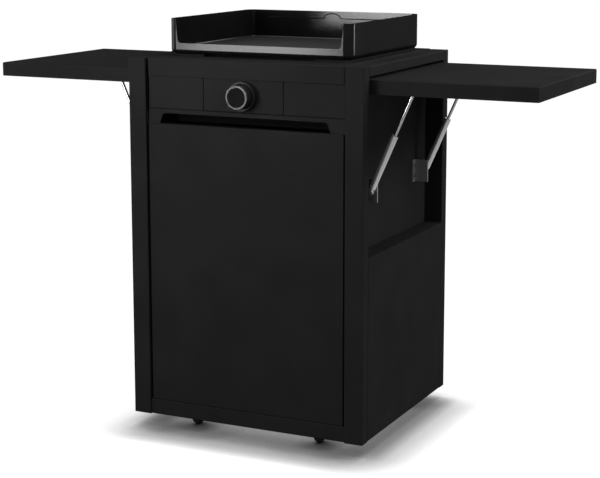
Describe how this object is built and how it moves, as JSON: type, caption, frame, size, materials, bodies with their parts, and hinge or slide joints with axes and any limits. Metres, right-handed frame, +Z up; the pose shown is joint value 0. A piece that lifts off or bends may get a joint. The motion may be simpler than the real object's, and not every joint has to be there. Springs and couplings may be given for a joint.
{
  "type": "electric griddle on cart",
  "caption": "Electric griddle with a splash guard on a wheeled cabinet cart with a front door, a control knob and folding side shelves on struts.",
  "frame": {"origin": "on the floor, under the middle of the overall box", "axes": "+X to the cart's right as seen from the front, +Y from the door to the rear, +Z up"},
  "size_m": [1.324, 0.5376, 0.9455],
  "materials": {
    "powder_coat": "matte fine texture",
    "enamel": "gloss enamel",
    "plate_iron": "satin enamelled",
    "zinc_steel": "satin zinc",
    "strut_steel": "satin",
    "chrome": "polished",
    "element_steel": "heat darkened",
    "reflector_sheet": "bright",
    "capillary_copper": "satin",
    "black_plastic": "satin",
    "magnet_plastic": "matte",
    "wire_cover": "matte",
    "wheel_rubber": "matte"
  },
  "bodies": {
    "cart": {"base_rails": "powder_coat", "bottom_panel": "powder_coat", "cable_gland": "black_plastic", "caster_plates": "zinc_steel", "control_panel": "powder_coat", "cooking_plate": "plate_iron", "door_hinge_bracket": "powder_coat", "door_magnet": "magnet_plastic", "element_clamps": "zinc_steel", "fascia_fillers": "powder_coat", "front_bottom_rail": "powder_coat", "front_left_post": "powder_coat", "front_right_post": "powder_coat", "griddle_chassis": "powder_coat", "griddle_pan": "enamel", "handle_rail": "powder_coat", "heat_reflector": "reflector_sheet", "heating_element": "element_steel", "knob_bezel": "black_plastic", "left_recess_panel": "powder_coat", "left_side_panel": "powder_coat", "machine_screws": "zinc_steel", "rear_panel": "powder_coat", "rear_posts": "powder_coat", "right_recess_panel": "powder_coat", "right_side_panel": "powder_coat", "sensor_capillary": "capillary_copper", "shelf_hinge_bolts": "zinc_steel", "side_top_rails": "powder_coat", "strut_wall_brackets": "zinc_steel", "terminal_block": "magnet_plastic", "thermostat": "black_plastic", "wiring": "wire_cover", "worktop": "powder_coat"},
    "door": {"door_panel": "powder_coat", "door_liner": "powder_coat", "door_hinge_pins": "zinc_steel"},
    "control_knob": {"knob": "black_plastic", "knob_ring": "chrome", "knob_spindle": "zinc_steel"},
    "right_shelf_body": {"right_shelf": "powder_coat", "right_shelf_brackets": "zinc_steel"},
    "left_shelf_body": {"left_shelf": "powder_coat", "left_shelf_brackets": "zinc_steel"},
    "front_right_tube": {"front_right_strut_tube": "strut_steel"},
    "front_right_rod": {"front_right_strut_rod": "chrome"},
    "rear_right_tube": {"rear_right_strut_tube": "strut_steel"},
    "rear_right_rod": {"rear_right_strut_rod": "chrome"},
    "front_left_tube": {"front_left_strut_tube": "strut_steel"},
    "front_left_rod": {"front_left_strut_rod": "chrome"},
    "rear_left_tube": {"rear_left_strut_tube": "strut_steel"},
    "rear_left_rod": {"rear_left_strut_rod": "chrome"},
    "front_left_fork": {"front_left_caster_fork": "zinc_steel"},
    "front_left_wheel": {"front_left_caster_wheel": "wheel_rubber"},
    "front_right_fork": {"front_right_caster_fork": "zinc_steel"},
    "front_right_wheel": {"front_right_caster_wheel": "wheel_rubber"},
    "rear_left_fork": {"rear_left_caster_fork": "zinc_steel"},
    "rear_left_wheel": {"rear_left_caster_wheel": "wheel_rubber"},
    "rear_right_fork": {"rear_right_caster_fork": "zinc_steel"},
    "rear_right_wheel": {"rear_right_caster_wheel": "wheel_rubber"}
  },
  "joints": [
    {"name": "door_hinge", "type": "hinge", "parent": "cart", "child": "door", "pos_m": [-0.229, -0.22575, 0.39], "axis": [0, 0, -1], "range_deg": [0, 105]},
    {"name": "knob_turn", "type": "hinge", "parent": "cart", "child": "control_knob", "pos_m": [0, -0.252, 0.785], "axis": [0, 1, 0], "range_deg": [0, 270]},
    {"name": "right_shelf_fold", "type": "hinge", "parent": "cart", "child": "right_shelf_body", "pos_m": [0.2835, 0.01475, 0.826], "axis": [0, 1, 0], "range_deg": [0, 90]},
    {"name": "front_right_strut_swing", "type": "hinge", "parent": "cart", "child": "front_right_tube", "pos_m": [0.268, -0.14925, 0.578], "axis": [0, -1, 0], "range_deg": [0, 23.43]},
    {"name": "front_right_strut_slide", "type": "slide", "parent": "front_right_tube", "child": "front_right_rod", "axis": [-0.4061, 0, -0.9138], "range_m": [0, 0.0966]},
    {"name": "rear_right_strut_swing", "type": "hinge", "parent": "cart", "child": "rear_right_tube", "pos_m": [0.268, 0.17875, 0.578], "axis": [0, -1, 0], "range_deg": [0, 23.43]},
    {"name": "rear_right_strut_slide", "type": "slide", "parent": "rear_right_tube", "child": "rear_right_rod", "axis": [-0.4061, 0, -0.9138], "range_m": [0, 0.0966]},
    {"name": "left_shelf_fold", "type": "hinge", "parent": "cart", "child": "left_shelf_body", "pos_m": [-0.2835, 0.01475, 0.826], "axis": [0, -1, 0], "range_deg": [0, 90]},
    {"name": "front_left_strut_swing", "type": "hinge", "parent": "cart", "child": "front_left_tube", "pos_m": [-0.268, -0.14925, 0.578], "axis": [0, 1, 0], "range_deg": [0, 23.43]},
    {"name": "front_left_strut_slide", "type": "slide", "parent": "front_left_tube", "child": "front_left_rod", "axis": [0.4061, 0, -0.9138], "range_m": [0, 0.0966]},
    {"name": "rear_left_strut_swing", "type": "hinge", "parent": "cart", "child": "rear_left_tube", "pos_m": [-0.268, 0.17875, 0.578], "axis": [0, 1, 0], "range_deg": [0, 23.43]},
    {"name": "rear_left_strut_slide", "type": "slide", "parent": "rear_left_tube", "child": "rear_left_rod", "axis": [0.4061, 0, -0.9138], "range_m": [0, 0.0966]},
    {"name": "front_left_caster_swivel", "type": "hinge", "parent": "cart", "child": "front_left_fork", "pos_m": [-0.157, -0.18325, 0.048], "axis": [0, 0, 1], "continuous": true},
    {"name": "front_left_wheel_spin", "type": "hinge", "parent": "front_left_fork", "child": "front_left_wheel", "pos_m": [-0.157, -0.17125, 0.02], "axis": [1, 0, 0], "continuous": true},
    {"name": "front_right_caster_swivel", "type": "hinge", "parent": "cart", "child": "front_right_fork", "pos_m": [0.157, -0.18325, 0.048], "axis": [0, 0, 1], "continuous": true},
    {"name": "front_right_wheel_spin", "type": "hinge", "parent": "front_right_fork", "child": "front_right_wheel", "pos_m": [0.157, -0.17125, 0.02], "axis": [1, 0, 0], "continuous": true},
    {"name": "rear_left_caster_swivel", "type": "hinge", "parent": "cart", "child": "rear_left_fork", "pos_m": [-0.157, 0.21275, 0.048], "axis": [0, 0, 1], "continuous": true},
    {"name": "rear_left_wheel_spin", "type": "hinge", "parent": "rear_left_fork", "child": "rear_left_wheel", "pos_m": [-0.157, 0.22475, 0.02], "axis": [1, 0, 0], "continuous": true},
    {"name": "rear_right_caster_swivel", "type": "hinge", "parent": "cart", "child": "rear_right_fork", "pos_m": [0.157, 0.21275, 0.048], "axis": [0, 0, 1], "continuous": true},
    {"name": "rear_right_wheel_spin", "type": "hinge", "parent": "rear_right_fork", "child": "rear_right_wheel", "pos_m": [0.157, 0.22475, 0.02], "axis": [1, 0, 0], "continuous": true}
  ],
  "couplings": [
    {"joint": "front_right_strut_swing", "follows": "right_shelf_fold", "ratio": 0.26026},
    {"joint": "front_right_strut_slide", "follows": "right_shelf_fold", "m_per_rad": 0.061474},
    {"joint": "rear_right_strut_swing", "follows": "right_shelf_fold", "ratio": 0.26026},
    {"joint": "rear_right_strut_slide", "follows": "right_shelf_fold", "m_per_rad": 0.061474},
    {"joint": "front_left_strut_swing", "follows": "left_shelf_fold", "ratio": 0.26026},
    {"joint": "front_left_strut_slide", "follows": "left_shelf_fold", "m_per_rad": 0.061474},
    {"joint": "rear_left_strut_swing", "follows": "left_shelf_fold", "ratio": 0.26026},
    {"joint": "rear_left_strut_slide", "follows": "left_shelf_fold", "m_per_rad": 0.061474}
  ]
}
